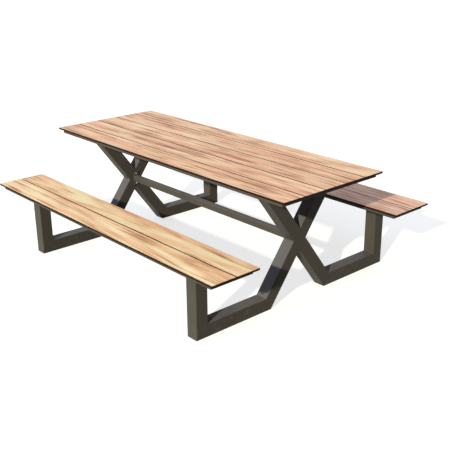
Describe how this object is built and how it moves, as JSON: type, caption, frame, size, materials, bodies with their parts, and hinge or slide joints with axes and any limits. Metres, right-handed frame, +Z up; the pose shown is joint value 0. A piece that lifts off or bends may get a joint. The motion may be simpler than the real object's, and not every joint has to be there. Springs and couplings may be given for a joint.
{
  "type": "picnic table",
  "caption": "Rectangular boarded table with an attached boarded bench along each side, on X-shaped end frames of square tube joined by a stretcher.",
  "frame": {"origin": "on the ground, under the middle of the table", "axes": "+X along the table, to the right end; +Y across it, from the front bench to the back bench; +Z up"},
  "size_m": [2.2, 1.765, 0.75],
  "materials": {
    "laminate_boards": "honey teak-look boards with dark brown edges, satin",
    "frame_coating": "dark taupe powder coat, fine matt texture",
    "underframe_coating": "dark taupe powder coat, fine matt texture",
    "stainless_bolts": "plain stainless steel"
  },
  "bodies": {
    "root": {"back_bench_back_rail": "underframe_coating", "back_bench_board_1": "laminate_boards", "back_bench_board_2": "laminate_boards", "back_bench_front_rail": "underframe_coating", "back_bench_left_bearer": "underframe_coating", "back_bench_left_rail": "underframe_coating", "back_bench_middle_bearer": "underframe_coating", "back_bench_right_bearer": "underframe_coating", "back_bench_right_rail": "underframe_coating", "front_bench_back_rail": "underframe_coating", "front_bench_board_1": "laminate_boards", "front_bench_board_2": "laminate_boards", "front_bench_front_rail": "underframe_coating", "front_bench_left_bearer": "underframe_coating", "front_bench_left_rail": "underframe_coating", "front_bench_middle_bearer": "underframe_coating", "front_bench_right_bearer": "underframe_coating", "front_bench_right_rail": "underframe_coating", "left_flange": "frame_coating", "left_flange_lower_bolt": "stainless_bolts", "left_flange_upper_bolt": "stainless_bolts", "left_frame_back_foot_rail": "frame_coating", "left_frame_back_leg_plate": "frame_coating", "left_frame_back_post": "frame_coating", "left_frame_back_post_plate": "frame_coating", "left_frame_front_foot_rail": "frame_coating", "left_frame_front_leg_plate": "frame_coating", "left_frame_front_post": "frame_coating", "left_frame_front_post_plate": "frame_coating", "left_frame_lower_half_leg": "frame_coating", "left_frame_through_leg": "frame_coating", "left_frame_upper_half_leg": "frame_coating", "right_flange": "frame_coating", "right_flange_lower_bolt": "stainless_bolts", "right_flange_upper_bolt": "stainless_bolts", "right_frame_back_foot_rail": "frame_coating", "right_frame_back_leg_plate": "frame_coating", "right_frame_back_post": "frame_coating", "right_frame_back_post_plate": "frame_coating", "right_frame_front_foot_rail": "frame_coating", "right_frame_front_leg_plate": "frame_coating", "right_frame_front_post": "frame_coating", "right_frame_front_post_plate": "frame_coating", "right_frame_lower_half_leg": "frame_coating", "right_frame_through_leg": "frame_coating", "right_frame_upper_half_leg": "frame_coating", "stretcher": "frame_coating", "table_back_rail": "underframe_coating", "table_board_1": "laminate_boards", "table_board_2": "laminate_boards", "table_board_3": "laminate_boards", "table_board_4": "laminate_boards", "table_board_5": "laminate_boards", "table_front_rail": "underframe_coating", "table_left_bearer": "underframe_coating", "table_left_rail": "underframe_coating", "table_middle_bearer": "underframe_coating", "table_right_bearer": "underframe_coating", "table_right_rail": "underframe_coating"}
  },
  "joints": []
}
